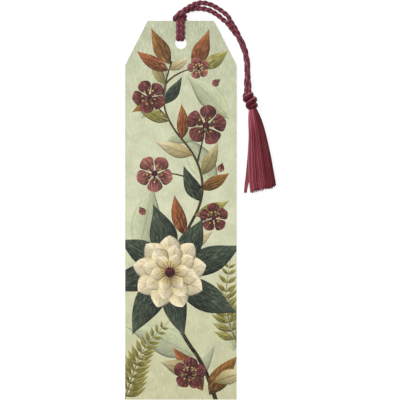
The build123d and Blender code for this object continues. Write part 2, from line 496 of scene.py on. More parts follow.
# Skirt: threads in locks, fanned flat. Stations run down from the knot's end
skirt_stations = (-2.6, 1.0, 3.3, 9.0, 12.5, 21.5, 33.5)
fan_middle = (0.3, 0.0, 0.0, -0.3, -0.8, -2.2, -3.8)
fan_half_width = (1.25, 2.47, 2.9, 3.55, 4.1, 5.2, 6.1)
lower_layer_height = (-0.5, -0.75, -1.1, -2.0, -2.1, -2.35, -2.55)
upper_layer_height = (1.0, 0.8, 0.5, -0.15, -0.35, -0.7, -1.0)
lock_half_depth = (0.35, 0.6, 0.75, 0.85, 0.85, 0.8, 0.7)
stray_stations = (1.0, 3.3, 12.5, 21.5, 26.0, 30.2, 33.5)
stray_reach = (0.0, 0.0, 0.0, 0.35, 1.1, 2.05, 3.35)
stray_width = (1.0, 1.0, 1.0, 1.0, 1.0, 0.95, 0.66)
guide_stations, guide_step = (-2.6, 0.0, 4.0, 10.0, 18.0, 26.0, 30.5, 35.2), 1.0
upper_lock_ends = (0.3, -0.5, 0.4, -0.2, 0.5, -0.6)
lower_lock_ends = (-0.5, 0.4, -0.4, 0.2, -0.3, 0.1)
lock_spread, clump_at_end, clump_from, clump_run = 1.25, 0.8, 20.0, 14.0
thread_radius, thread_waver = 0.13, 0.44
thread_inputs = {
    "Threads per lock": ("NodeSocketInt", 48),
    "Points per thread": ("NodeSocketInt", 18),
    "Thread radius": ("NodeSocketFloat", thread_radius * MM),
    "Thread sides": ("NodeSocketInt", 5),
    "Waver": ("NodeSocketFloat", thread_waver * MM),
    "Ragged end": ("NodeSocketFloat", 0.045),
    "Seed": ("NodeSocketInt", 5),
    "Across": ("NodeSocketVector", knot_across.tolist()),
}
waves, waves_apart, noise_middle = 3.0, 90.0, (0.5, 0.5, 0.5)

# Tones, from 0 dark to 1 pale, differ from lock to lock and run paler to the left and darker to the right,
# as painted light and shade.
upper_lock_tones_and_painted_light = (0.68, 0.57, 0.64, 0.47, 0.44, 0.26)
lower_lock_tones_and_painted_light = (0.6, 0.5, 0.42, 0.38, 0.4, 0.16)
# Near the knot, pale locks are paler, and dark ones darker, than below, as painted sheen and painted shade
middle_tone, sheen_and_shade_at_top, sheen_and_shade_fade = 0.48, 2.0, (0.12, 0.34)
# Tone shifts centre the tones; they are a little lower over the upper third, as painted shade below the
# sheen
tone_shifts, shift_run = (-0.67, -0.61), (0.36, 0.6)
streaks, streaks_apart, tone_chance = 3.0, 60.0, 0.15


def lock_guide(place, lock_count, heights, end, is_stray):
    """One lock's middle line, and its half width and half depth along it."""
    stations = np.array(guide_stations)
    stations[-1] += end
    half_width = np.interp(stations, skirt_stations, fan_half_width)
    x = np.interp(stations, skirt_stations, fan_middle) + place * half_width
    x = x - is_stray * np.interp(stations, stray_stations, stray_reach)
    up = np.interp(stations, skirt_stations, heights)
    line = smooth_line([tuple(p) for p in in_tassel(x, up, knot_length + stations)], guide_step)
    down = (line - knot_top) @ knot_down - knot_length
    spread = lock_spread / lock_count * (1 - (1 - clump_at_end) * ease((down - clump_from) / clump_run))
    width = np.interp(down, skirt_stations, fan_half_width) * spread
    if is_stray:
        width = width * np.interp(down, stray_stations, stray_width)
    return line, width, np.interp(down, skirt_stations, lock_half_depth)


def skirt_guides():
    """All locks' middle lines as one mesh of edges, with what the threads need to know on its points."""
    points, edges, widths, depths, tones = [], [], [], [], []
    layers = (
        (lower_layer_height, lower_lock_ends, lower_lock_tones_and_painted_light, True),
        (upper_layer_height, upper_lock_ends, upper_lock_tones_and_painted_light, False),
    )
    for heights, ends, lock_tones, has_stray in layers:
        for i, (end, tone) in enumerate(zip(ends, lock_tones)):
            place = (2 * i + 1) / len(ends) - 1
            line, width, depth = lock_guide(place, len(ends), heights, end, has_stray and i == 0)
            edges += [(len(points) + k, len(points) + k + 1) for k in range(len(line) - 1)]
            points += line.tolist()
            widths += (width * MM).tolist()
            depths += (depth * MM).tolist()
            tones += [tone] * len(line)
    mesh = bpy.data.meshes.new("skirt_threads")
    mesh.from_pydata((np.array(points) * MM).tolist(), edges, [])
    for name, values in (("half_width", widths), ("half_depth", depths), ("lock_tone", tones)):
        mesh.attributes.new(name, "FLOAT", "POINT").data.foreach_set("value", values)
    guides = bpy.data.objects.new("skirt_threads", mesh)
    bpy.context.scene.collection.objects.link(guides)
    return guides


def thread_tree(material):
    """Scatters threads in each lock, lets them waver, trims their ends, tones them with painted sheen and
    shade, and makes them thick.
    """
    tree = bpy.data.node_groups.new("skirt_threads", "GeometryNodeTree")
    add = functools.partial(add_node, tree)
    tree.interface.new_socket("Guides", in_out="INPUT", socket_type="NodeSocketGeometry")
    for name, (kind, _) in thread_inputs.items():
        tree.interface.new_socket(name, in_out="INPUT", socket_type=kind)
    tree.interface.new_socket("Threads", in_out="OUTPUT", socket_type="NodeSocketGeometry")
    given = add("NodeGroupInput").outputs

    curves = add("GeometryNodeMeshToCurve", {"Mesh": given["Guides"]})
    curves = add("GeometryNodeResampleCurve", {"Curve": curves, "Count": given["Points per thread"]})
    copies = {"Geometry": curves, "Amount": given["Threads per lock"]}
    curves = add("GeometryNodeDuplicateElements", copies, domain="SPLINE")
    chance = {"Min": (-1.0, -1.0, 0.0), "Max": (1.0, 1.0, 1.0), "Seed": given["Seed"]}
    chance = add("FunctionNodeRandomValue", chance, data_type="FLOAT_VECTOR")
    chance = add("GeometryNodeFieldOnDomain", (chance,), data_type="FLOAT_VECTOR", domain="CURVE")
    chance = add("ShaderNodeSeparateXYZ", (chance,)).outputs
    half_width, half_depth, lock_tone = (
        add("GeometryNodeInputNamedAttribute", {"Name": name}, data_type="FLOAT")
        for name in ("half_width", "half_depth", "lock_tone")
    )
    along = add("GeometryNodeSplineParameter").outputs["Factor"]

    across = add("ShaderNodeMath", (chance["X"], half_width), operation="MULTIPLY")
    across = add("ShaderNodeVectorMath", {0: given["Across"], "Scale": across}, operation="SCALE")
    roundness = add("ShaderNodeMath", (chance["X"], chance["X"]), operation="MULTIPLY")
    roundness = add("ShaderNodeMath", (1.0, roundness), operation="SUBTRACT")
    roundness = add("ShaderNodeMath", (roundness,), operation="SQRT")
    above = add("ShaderNodeMath", (chance["Y"], half_depth), operation="MULTIPLY")
    above = add("ShaderNodeMath", (above, roundness), operation="MULTIPLY")
    above = add("ShaderNodeCombineXYZ", {"Z": above})
    wave_at = add("ShaderNodeMath", (along, waves), operation="MULTIPLY")
    wave_of = add("ShaderNodeMath", (chance["Z"], waves_apart), operation="MULTIPLY")
    wave = {"Vector": add("ShaderNodeCombineXYZ", {"X": wave_at}), "W": wave_of, "Scale": 1.0, "Detail": 1.0}
    wave = add("ShaderNodeTexNoise", wave, noise_dimensions="4D").outputs["Color"]
    wave = add("ShaderNodeVectorMath", (wave, noise_middle), operation="SUBTRACT")
    swing = add("ShaderNodeMath", (along, given["Waver"]), operation="MULTIPLY")
    offset = add("ShaderNodeVectorMath", {0: wave, "Scale": swing}, operation="SCALE")
    for part in (across, above):
        offset = add("ShaderNodeVectorMath", (offset, part), operation="ADD")
    curves = add("GeometryNodeSetPosition", {"Geometry": curves, "Offset": offset})
    cut = add("ShaderNodeMath", (chance["Z"], given["Ragged end"]), operation="MULTIPLY")
    cut = add("ShaderNodeMath", (1.0, cut), operation="SUBTRACT")
    curves = add("GeometryNodeTrimCurve", {"Curve": curves, "Start": 0.0, "End": cut}, mode="FACTOR")

    # Painted sheen and shade near the knot: pale locks paler and dark locks darker, fading out further down
    painted_sheen_and_shade = add("ShaderNodeMapRange", (along, *sheen_and_shade_fade, sheen_and_shade_at_top, 0.0), **smooth_step)
    paleness = add("ShaderNodeMath", (lock_tone, middle_tone), operation="SUBTRACT")
    shift = add("ShaderNodeMapRange", (along, *shift_run, *tone_shifts), **smooth_step)
    tone = add("ShaderNodeMath", (painted_sheen_and_shade, paleness, shift), operation="MULTIPLY_ADD")
    tone = add("ShaderNodeMath", (chance["Z"], tone_chance, tone), operation="MULTIPLY_ADD")
    streak = add("ShaderNodeMath", (lock_tone, streaks_apart), operation="MULTIPLY")
    streak = add("ShaderNodeMath", (chance["X"], streaks, streak), operation="MULTIPLY_ADD")
    streak = add("ShaderNodeTexNoise", {"W": streak, "Scale": 1.0, "Detail": 1.0}, noise_dimensions="1D")
    for part in (streak, lock_tone):
        tone = add("ShaderNodeMath", (tone, part), operation="ADD")
    toned = {"Geometry": curves, "Name": "thread_tone", "Value": tone}
    curves = add("GeometryNodeStoreNamedAttribute", toned, data_type="FLOAT", domain="POINT")
    ring = {"Resolution": given["Thread sides"], "Radius": given["Thread radius"]}
    ring = add("GeometryNodeCurvePrimitiveCircle", ring)
    tubes = add("GeometryNodeCurveToMesh", {"Curve": curves, "Profile Curve": ring, "Fill Caps": True})
    tubes = add("GeometryNodeRealizeInstances", {"Geometry": tubes})
    tubes = add("GeometryNodeSetMaterial", {"Geometry": tubes, "Material": material})
    add("NodeGroupOutput", {"Threads": tubes})
    return tree


def rayon_skirt_thread(add):
    """Untwisted rayon ends: straight shiny threads, some paler than others, with painted sheen and shade in
    their tones.
    """
    tone = add("ShaderNodeAttribute", attribute_name="thread_tone").outputs["Fac"]
    colour = add("ShaderNodeValToRGB", (tone,), ((0.1, "#561820"), (0.5, "#802e37"), (0.95, "#b86072")))
    return add("ShaderNodeBsdfPrincipled", {"Base Color": colour, "Roughness": 0.44, **rayon_gloss})


def make_skirt():
    """All threads of the skirt as one plain mesh."""
    guides = skirt_guides()
    tree = thread_tree(make_material(rayon_skirt_thread))
    modifier = guides.modifiers.new("threads", "NODES")
    modifier.node_group = tree
    for name, (_, value) in thread_inputs.items():
        modifier[tree.interface.items_tree[name].identifier] = value
    evaluated = guides.evaluated_get(bpy.context.evaluated_depsgraph_get())
    mesh = bpy.data.meshes.new_from_object(evaluated)
    guides.modifiers.remove(modifier)
    guides.data = mesh
    mesh.polygons.foreach_set("use_smooth", [True] * len(mesh.polygons))
    return guides


skirt = make_skirt()

# Card print: painted shapes from back to front. Each paint is its inks, from base to tip, and a glaze
paints = {
    "ground": (("#c0be95", "#c5c5a0", "#c7c9a9", "#bec2a1", "#a9ae90"), "#d0d1b8"),
    "ghost": (("#a5aa87", "#b3b897"), "#c3c6a6"),
    "slate": (("#141b18", "#222c26", "#3b4639"), "#666e54"),
    "cream": (("#75693c", "#bcb084", "#dad0ad"), "#a5864f"),
    "olive": (("#454119", "#7a7330", "#a39a58"), "#c4bb84"),
    "buff": (("#675f38", "#9c9164", "#c1b78d"), "#7a6538"),
    "brown": (("#301b0c", "#63401c", "#90622c"), "#b3884c"),
    "russet": (("#3c180c", "#6d361a", "#985a30"), "#bf8856"),
    "plum": (("#16080a", "#3f171b", "#683130"), "#a26c60"),
    "rose": (("#2b1013", "#5c2a2a", "#8f534b"), "#c4937f"),
    "petal": (("#7f6237", "#c8b98c", "#e6ddc2"), "#b09868"),
    "heart": (("#18080b", "#401419", "#260c10"), "#7a3b38"),
    "twig": (("#17110a", "#2b2116", "#423522"), "#75674a"),
    "anther": (("#8a6222", "#c49a4a"), "#e6cb86"),
}
light_from = np.array((-0.6, 0.8))
thinnest, vein_reach, widest_without_vein = 0.04, 0.55, 0.7
least_blade_steps, blade_step, stem_step, disc_steps = 17, 1.1, 1.0, 15
hand_waver, hand_waves = 0.05, 9.0
print_seed, brush_shift, ground_grid = 11, 200.0, 5.0

# Leaves that are half lost in the ground: x, y, heading, length
ghost_leaves = (
    (-20, 66, 72, 34),
    (16, 96, 116, 30),
    (-6, 118, 20, 26),
    (22, 128, 128, 28),
    (-18, 128, 62, 30),
    (6, 20, 150, 34),
    (24, 22, 96, 30),
    (-2, 6, 40, 26),
)
ghost_half_width, ghost_vein = 0.19, 0.4
# Fronds: route, and pairs of leaflets, which are shorter towards the tip
fronds = (
    ([(-27, -4), (-22, 12), (-16, 26), (-5, 36)], 13),
    ([(27, 22), (21, 36), (20, 50), (23, 66)], 10),
)
frond_from, frond_run, leaflet_spread, leaflet_bend, leaflet_half_width = 0.14, 0.84, 56, -0.12, 0.17
tip_leaflet, leaflet_growth, leaflet_taper = 1.8, 9.5, 0.7
# Main stem, its twigs (share along it, bend, end) and its leaves (share along it, length, half width)
stem_route = (
    [(17, -4), (12, 14), (0, 30), (-7, 50), (1, 74)]
    + [(11, 92), (8, 110), (-6, 126), (-9, 141), (-4, 154)]
)
twig_routes = (
    (0.5, (8, 80), (15, 82)),
    (0.63, (2, 104), (-10, 103)),
    (0.7, (9, 114), (11, 123)),
    (0.83, (-9, 132), (-14, 136)),
    (0.93, (-3, 149), (6, 151)),
)
stem_leaves = (
    (0.46, 18, 3.2),
    (0.5, 19, 3.4),
    (0.56, 17, 3.0),
    (0.6, 18, 3.4),
    (0.67, 17, 3.0),
    (0.73, 19, 3.2),
    (0.78, 16, 2.8),
    (0.84, 17, 2.9),
    (0.89, 15, 2.6),
    (0.94, 14, 2.4),
    (0.985, 11, 2.0),
)
stem_leaf_paints = ("cream", "russet", "olive", "slate", "buff")
stem_leaf_spread, stem_leaf_bend = 48, -0.16
# Half widths of stalks, at base and tip
stem_half, twig_half, frond_half, filament_half = (1.0, 0.35), (0.5, 0.25), (0.45, 0.15), (0.14, 0.1)
# Leaves at the stem's tip and foot: x, y, heading, length, half width, paint, bend
end_leaves = (
    (-4.5, 152.5, 124, 19, 3.5, "brown", -0.1),
    (-5.5, 150, 158, 17, 3.1, "russet", -0.16),
    (5, 150.5, 60, 20, 3.7, "russet", 0.12),
    (9, 151, 22, 15, 3.0, "olive", 0.2),
    (-8.5, 137, 196, 15, 2.8, "brown", 0.14),
    (9, 96, 20, 15, 3.0, "brown", 0.16),
    (10, 4, 118, 24, 4.6, "russet", 0.12),
    (13, 2, 62, 22, 4.4, "brown", -0.14),
    (9, 10, 152, 20, 4.0, "buff", 0.12),
    (15, 8, 22, 16, 3.4, "cream", -0.1),
)
# Large bloom: leaves (heading, length, half width) and rings of petals (count, turn, length, half width)
bloom_centre = np.array((-5.0, 58.0))
bloom_leaves = (
    (14, 31, 6.4),
    (52, 25, 5.6),
    (97, 28, 6.2),
    (141, 24, 5.4),
    (188, 27, 6.0),
    (232, 29, 6.6),
    (276, 26, 5.6),
    (322, 32, 6.8),
)
bloom_rings = ((9, 8, 15.6, 5.0), (8, 31, 11.4, 4.0), (6, 5, 7.4, 3.0))
bloom_leaf_from, bloom_petal_from, bloom_heart = 4.0, 1.2, 2.3
bloom_stamens, bloom_stamen_from, bloom_stamen_reach = 17, 1.4, 4.4
# Blossoms: x, y, radius, turn, paint. Their sizes are shares of the radius
blossoms = (
    (15, 83, 6.6, 20, "plum"),
    (-12, 103, 8.4, 54, "rose"),
    (11.5, 125, 9.2, 8, "plum"),
    (-14.5, 138, 7.6, 40, "plum"),
    (8, 151, 5.0, 30, "rose"),
    (4, 12, 7.4, 12, "plum"),
)
blossom_petals, petal_from, petal_length, petal_half_width = 5, 0.1, 0.92, 0.43
blossom_stamens, stamen_turn, stamen_from, stamen_reach, heart_radius = 9, 15, 0.1, 0.42, 0.17
anther_radius, stamen_chance, stamen_beat = 0.42, 0.12, 5.3
# Fallen petals: x, y, heading
fallen_petals = ((19, 108, 250), (-19, 88, 300), (18, 146, 215))
fallen_length, fallen_half_width = 4.6, 1.7
# How petals and the bloom's leaves differ from a leaf
bloom_leaf_form = {"bend": 0.14, "vein": -0.9}
bloom_petal_form = {"bend": 0.05, "fullness": 1.5, "sharpness": 0.75, "vein": 0.45}
petal_form = {"bend": 0.06, "fullness": 1.6, "sharpness": 0.72, "vein": 0.35}
fallen_form = {"bend": 0.1, "fullness": 1.5, "sharpness": 0.8, "vein": 0.3}


class PaintedShape:
    """A brushed shape in the card's plane: a spine, half widths along it, and the paint from base to tip."""

    def __init__(self, spine, half_width, paint, vein=0.0, lit=1.0):
        inks, glaze = paints[paint]
        self.spine, self.half_width = np.asarray(spine, float), np.asarray(half_width, float)
        self.inks, self.glaze = np.array([linear(ink) for ink in inks]), linear(glaze)
        self.vein, self.lit = vein, lit
        heading = unit(np.gradient(self.spine, axis=0))
        self.left = np.stack([-heading[:, 1], heading[:, 0]], axis=1)
        self.sunny = 1.0 if self.left.mean(axis=0) @ light_from >= 0 else -1.0

    def row(self, across):
        return self.spine + across * self.half_width[:, None] * self.left

    def outline(self):
        wide = self.half_width > thinnest
        return np.concatenate([self.row(-1.0), self.row(1.0)[wide][::-1]])

    def inner_points(self):
        wide = self.half_width > thinnest
        if self.half_width.max() < widest_without_vein:
            return np.empty((0, 2))
        return np.concatenate([self.row(across)[wide] for across in (-vein_reach, 0.0, vein_reach)])

    def place(self, points):
        """Share along the spine, share across to the lit side, and both in millimetres."""
        run = np.diff(self.spine, axis=0)
        to_point = points[:, None, :] - self.spine[None, :-1, :]
        share = np.clip(np.sum(to_point * run, axis=2) / np.sum(run * run, axis=1), 0, 1)
        miss = np.linalg.norm(to_point - share[:, :, None] * run, axis=2)
        nearest = np.argmin(miss, axis=1)
        pick = np.arange(len(points))
        step = nearest + share[pick, nearest]
        offset = to_point[pick, nearest]
        turn = run[nearest, 0] * offset[:, 1] - run[nearest, 1] * offset[:, 0]
        reach = np.sign(turn) * miss[pick, nearest]
        steps = np.arange(len(self.spine))
        half = np.maximum(np.interp(step, steps, self.half_width), thinnest)
        across = np.clip(reach / half, -1, 1) * self.sunny
        lengths = lengths_along(self.spine)
        along = np.interp(step, steps, lengths)
        return along / lengths[-1], across, along, reach


def heading_vector(degrees):
    return np.array((math.cos(math.radians(degrees)), math.sin(math.radians(degrees))))


def blade(base, heading, length, half_width, paint, bend=0.12, fullness=0.8, sharpness=1.2, vein=1.0):
    """A leaf, or a petal where it is fullest past its middle and blunt."""
    share = ease(np.linspace(0, 1, max(least_blade_steps, round(length / blade_step))))[:, None]
    forward, left = heading_vector(heading), heading_vector(heading + 90)
    spine = np.asarray(base) + length * (share * forward + bend * share**2 * left)
    profile = np.clip(np.sin(np.pi * share[:, 0] ** fullness), 0, 1) ** sharpness
    hand = 1 + hand_waver * np.sin(hand_waves * share[:, 0] + heading)
    return PaintedShape(spine, half_width * profile * hand, paint, vein)


def blade_on(spine, share, side, spread, length, half_width, paint, bend):
    """A leaf on one side of a stalk."""
    at = round(share * (len(spine) - 2))
    ahead = spine[at + 1] - spine[at]
    heading = math.degrees(math.atan2(ahead[1], ahead[0]))
    return blade(spine[at], heading + side * spread, length, half_width, paint, bend * side)


def blades_round(centre, start, blades, paint, form):
    """Leaves or petals round a centre, each given as its heading, length and half width."""
    return [
        blade(centre + start * heading_vector(heading), heading, length, half_width, paint, **form)
        for heading, length, half_width in blades
    ]


def petals_round(count, turn, length, half_width):
    """Heading, length and half width of each petal in an even ring."""
    return [(turn + 360 * i / count, length, half_width) for i in range(count)]


def stalk(points, half_widths, paint="twig"):
    spine = smooth_line([(x, y, 0.0) for x, y in points], stem_step)[:, :2]
    return PaintedShape(spine, np.linspace(*half_widths, len(spine)), paint)


def disc(centre, radius, paint):
    angle = np.linspace(np.pi, 0, disc_steps)[:, None]
    spine = np.asarray(centre) + radius * np.cos(angle) * np.array((light_from[1], -light_from[0]))
    return PaintedShape(spine, radius * np.clip(np.sin(angle[:, 0]), 0, 1), paint)


def stamens(centre, inner, outer, count, turn):
    """Fine filaments round a heart, each with its anther."""
    shapes = []
    for i in range(count):
        way = heading_vector(turn + 360 * i / count)
        tip = centre + outer * (1 + stamen_chance * math.sin(stamen_beat * i)) * way
        base = centre + inner * way
        shapes.append(stalk([tuple(base), tuple((base + tip) / 2), tuple(tip)], filament_half))
        shapes.append(disc(tip, anther_radius, "anther"))
    return shapes


def blossom(x, y, radius, turn, paint):
    """Broad petals round a heart with stamens."""
    centre = np.array((x, y))
    petals = petals_round(blossom_petals, turn, petal_length * radius, petal_half_width * radius)
    shapes = blades_round(centre, petal_from * radius, petals, paint, petal_form)
    reach = (stamen_from * radius, stamen_reach * radius)
    shapes += stamens(centre, *reach, blossom_stamens, turn + stamen_turn)
    return shapes + [disc(centre, heart_radius * radius, "heart")]


def large_bloom():
    """A full-blown flower: rings of petals over a whorl of dark leaves."""
    shapes = blades_round(bloom_centre, bloom_leaf_from, bloom_leaves, "slate", bloom_leaf_form)
    for ring in bloom_rings:
        petals = petals_round(*ring)
        shapes += blades_round(bloom_centre, bloom_petal_from, petals, "petal", bloom_petal_form)
    shapes += stamens(bloom_centre, bloom_stamen_from, bloom_stamen_reach, bloom_stamens, 0)
    return shapes + [disc(bloom_centre, bloom_heart, "heart")]


def frond(points, leaflets):
    """A fern's frond, with leaflets in pairs."""
    shapes = [stalk(points, frond_half, "olive")]
    spine = shapes[0].spine
    for i in range(leaflets):
        share = frond_from + frond_run * i / leaflets
        length = tip_leaflet + leaflet_growth * (1 - share) ** leaflet_taper
        size = (length, leaflet_half_width * length)
        for side in (-1, 1):
            shapes.append(blade_on(spine, share, side, leaflet_spread, *size, "olive", leaflet_bend))
    return shapes


def stem_with_leaves():
    """The main stem over its twigs, and leaves first on one side of it and then on the other."""
    main = stalk(stem_route, stem_half)
    shapes = []
    for share, bend, end in twig_routes:
        start = tuple(main.spine[round(share * len(main.spine))])
        shapes.append(stalk([start, bend, end], twig_half))
    shapes.append(main)
    for i, (share, length, half_width) in enumerate(stem_leaves):
        side = 1 if i % 2 else -1
        paint = stem_leaf_paints[i % len(stem_leaf_paints)]
        leaf = (length, half_width, paint, stem_leaf_bend)
        shapes.append(blade_on(main.spine, share, side, stem_leaf_spread, *leaf))
    return shapes


def paint_print():
    """All shapes of the print. The first is the ground, whose outline is the card's own."""
    shapes = [PaintedShape([(0, 0), (0, card_length)], [card_width / 2] * 2, "ground", lit=0.0)]
    for x, y, heading, length in ghost_leaves:
        half_width = ghost_half_width * length
        shapes.append(blade((x, y), heading, length, half_width, "ghost", vein=ghost_vein))
    for route, leaflets in fronds:
        shapes += frond(route, leaflets)
    shapes += stem_with_leaves()
    for x, y, *leaf in end_leaves:
        shapes.append(blade((x, y), *leaf))
    shapes += large_bloom()
    for flower in blossoms:
        shapes += blossom(*flower)
    for x, y, heading in fallen_petals:
        shapes.append(blade((x, y), heading, fallen_length, fallen_half_width, "rose", **fallen_form))
    return shapes


# Card: one sheet, cut along the painted outlines, with its edges rounded off a little
edge_round, hole_sides, weld = 0.05, 64, 1e-4


def pushed(loop, distance):
    """A closed loop, with the material on its left, moved out by a distance."""
    run = unit(np.roll(loop, -1, axis=0) - loop)
    out = np.stack([run[:, 1], -run[:, 0]], axis=1)
    before = np.roll(out, 1, axis=0)
    return loop + distance * (out + before) / (1 + np.sum(out * before, axis=1, keepdims=True))


def card_outline():
    half, shoulder = card_width / 2, card_width / 2 - corner_cut_across
    right = [(half, 0.0), (half, card_length - corner_cut_down), (shoulder, card_length)]
    return np.array(right + [(-x, y) for x, y in right[::-1]])


def triangles_of(loops, loose=()):
    """The plane cut into triangles along the loops: places, triangles, and the loops that each is inside."""
    points, rings = [], []
    for loop in loops:
        rings.append(list(range(len(points), len(points) + len(loop))))
        points += [Vector(point) for point in loop]
    points += [Vector(point) for point in loose]
    found = geometry.delaunay_2d_cdt(points, [], rings, 1, weld, True)
    return np.array(found[0]), found[2], found[5]


def cut_front(shapes):
    """The front face cut along every painted outline, with the shape that lies on top of each triangle."""
    angle = np.linspace(0, 2 * np.pi, hole_sides, endpoint=False)
    hole = (hole_radius + edge_round) * np.stack([np.cos(angle), np.sin(angle)], axis=1) + (0.0, hole_y)
    loops = [pushed(card_outline(), -edge_round)] + [shape.outline() for shape in shapes[1:]] + [hole]
    grid = np.mgrid[-card_width / 2 : card_width / 2 : ground_grid, 0 : card_length : ground_grid]
    loose = np.concatenate([grid.reshape(2, -1).T] + [shape.inner_points() for shape in shapes[1:]])
    places, triangles, inside = triangles_of(loops, loose)
    last = len(loops) - 1
    kept = [(t, max(owners)) for t, owners in zip(triangles, inside) if 0 in owners and last not in owners]
    used, order = np.unique([t for t, _ in kept], return_inverse=True)
    return places[used], order.reshape(-1, 3), np.array([top for _, top in kept])


def rims(triangles):
    """The loops of the edges that only one triangle has, with the material on their left."""
    edges = {(int(t[k]), int(t[(k + 1) % 3])) for t in triangles for k in range(3)}
    following = {a: b for a, b in edges if (b, a) not in edges}
    loops = []
    while following:
        loop = [next(iter(following))]
        while loop[-1] in following:
            loop.append(following.pop(loop[-1]))
        loops.append(loop[:-1])
    return loops


def make_card():
    """One closed sheet: painted front, rounded edges and a plain back."""
    shapes = paint_print()
    places, triangles, tops = cut_front(shapes)
    half = card_thickness / 2
    vertices = [np.column_stack([places, np.full(len(places), half)])]
    faces = triangles.tolist()
    back_loops, back_indices = [], []
    count = len(places)
    for rim in rims(triangles):
        inner = places[rim]
        outer = pushed(inner, edge_round)
        above = rim
        for ring, height in ((outer, half - edge_round), (outer, edge_round - half), (inner, -half)):
            below = list(range(count, count + len(rim)))
            vertices.append(np.column_stack([ring, np.full(len(rim), height)]))
            count += len(rim)
            for i in range(len(rim)):
                k = (i + 1) % len(rim)
                faces.append([above[i], below[i], below[k], above[k]])
            above = below
        back_loops.append(inner)
        back_indices.append(above)
    order = np.argsort([-np.ptp(loop[:, 1]) for loop in back_loops])
    edge, punched = (back_loops[i] for i in order)
    indices = back_indices[order[0]] + back_indices[order[1]][::-1]
    _, back, inside = triangles_of([edge, punched[::-1]])
    faces += [[indices[i] for i in t[::-1]] for t, owners in zip(back, inside) if 1 not in owners]
    materials = [make_material(coated_card_print), make_material(uncoated_card_stock)]
    card = mesh_object("printed_card", np.concatenate(vertices), faces, materials, smooth=False)
    is_plain = np.arange(len(faces)) >= len(triangles)
    card.data.polygons.foreach_set("material_index", is_plain.astype(int))
    add_paint(card.data, shapes, places, triangles, tops)
    return card


def add_paint(mesh, shapes, places, triangles, tops):
    """Writes each corner's paint, and where it is in its shape, for the material to read."""
    random = np.random.default_rng(print_seed)
    count = len(mesh.loops)
    ink, glaze = np.ones((count, 4)), np.ones((count, 4))
    share, across_mm = np.zeros((count, 2)), np.zeros((count, 2))
    vein, lit = np.zeros(count), np.zeros(count)
    for top, shape in enumerate(shapes):
        shift = random.uniform(0, brush_shift, 2)
        corners = (3 * np.nonzero(tops == top)[0][:, None] + np.arange(3)).ravel()
        if not len(corners):
            continue
        along, across, along_mm, reach = shape.place(places[triangles.ravel()[corners]])
        ink[corners] = rows_at(along, np.linspace(0, 1, len(shape.inks)), shape.inks)
        glaze[corners] = shape.glaze
        share[corners] = np.stack([along, across], axis=1)
        across_mm[corners] = np.stack([along_mm, reach], axis=1) + shift
        vein[corners], lit[corners] = shape.vein, shape.lit
    for name, values in (("ink", ink), ("glaze", glaze)):
        mesh.attributes.new(name, "FLOAT_COLOR", "CORNER").data.foreach_set("color", values.ravel())
    for name, values in (("vein", vein), ("lit", lit)):
        mesh.attributes.new(name, "FLOAT", "CORNER").data.foreach_set("value", values)
    for name, values in (("paint_share", share), ("paint_mm", across_mm)):
        mesh.uv_layers.new(name=name).data.foreach_set("uv", values.ravel())


